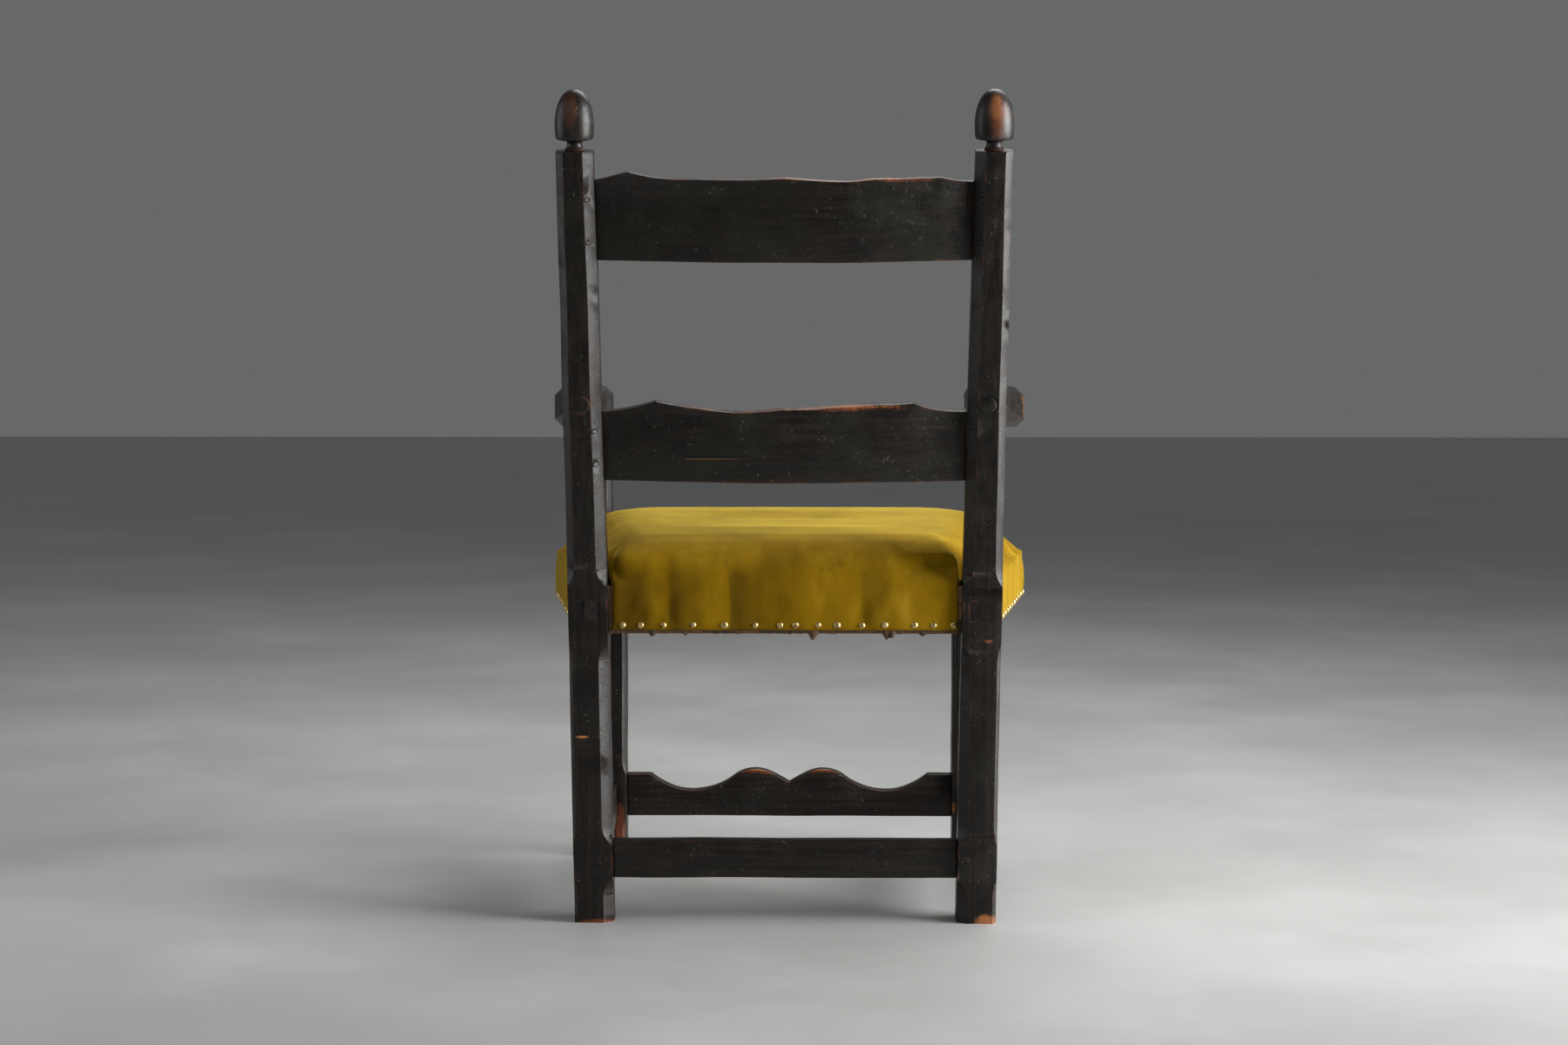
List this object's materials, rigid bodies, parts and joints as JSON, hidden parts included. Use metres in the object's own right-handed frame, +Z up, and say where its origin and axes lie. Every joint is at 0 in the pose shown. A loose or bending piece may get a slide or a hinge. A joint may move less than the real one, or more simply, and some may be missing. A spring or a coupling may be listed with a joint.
{
  "type": "folk art armchair",
  "caption": "Rustic open armchair with chamfered raked posts, acorn finials, scrolled back slats and a padded velvet seat nailed over the frame; it seats one person.",
  "frame": {"origin": "on the floor under the middle of the chair's bounding box", "axes": "+Z up, +X to the sitter's left, the sitter faces -Y, so the back is at +Y"},
  "size_m": [0.676, 0.6256, 1.0517],
  "materials": {
    "ebonised_wood": "worn satin black stain",
    "frame_wood": "raw sawn wood",
    "jute_webbing": "matt woven",
    "hessian": "matt woven",
    "stuffing": "matt",
    "velvet": "short pile",
    "old_leather": "dry and torn",
    "brass_nail": "dull aged brass"
  },
  "bodies": {
    "root": {"finials": "ebonised_wood", "rear_post_left": "ebonised_wood", "rear_post_right": "ebonised_wood", "top_slat": "ebonised_wood", "lower_slat": "ebonised_wood", "slat_pegs": "ebonised_wood", "arm_left": "ebonised_wood", "arm_right": "ebonised_wood", "arm_support_left": "ebonised_wood", "arm_support_right": "ebonised_wood", "front_leg_left": "ebonised_wood", "front_leg_right": "ebonised_wood", "rear_stretcher": "ebonised_wood", "front_stretcher": "ebonised_wood", "side_stretcher_left": "ebonised_wood", "side_stretcher_right": "ebonised_wood", "stretcher_pegs": "ebonised_wood", "rear_seat_rail": "frame_wood", "front_seat_rail": "frame_wood", "side_seat_rail_left": "frame_wood", "side_seat_rail_right": "frame_wood", "webbing_lengthwise": "jute_webbing", "webbing_crosswise": "jute_webbing", "hessian_sheet": "hessian", "seat_stuffing": "stuffing", "velvet_cover": "velvet", "leather_strip": "old_leather", "nails_rear": "brass_nail", "nails_front": "brass_nail", "nails_left": "brass_nail", "nails_right": "brass_nail"}
  },
  "joints": []
}
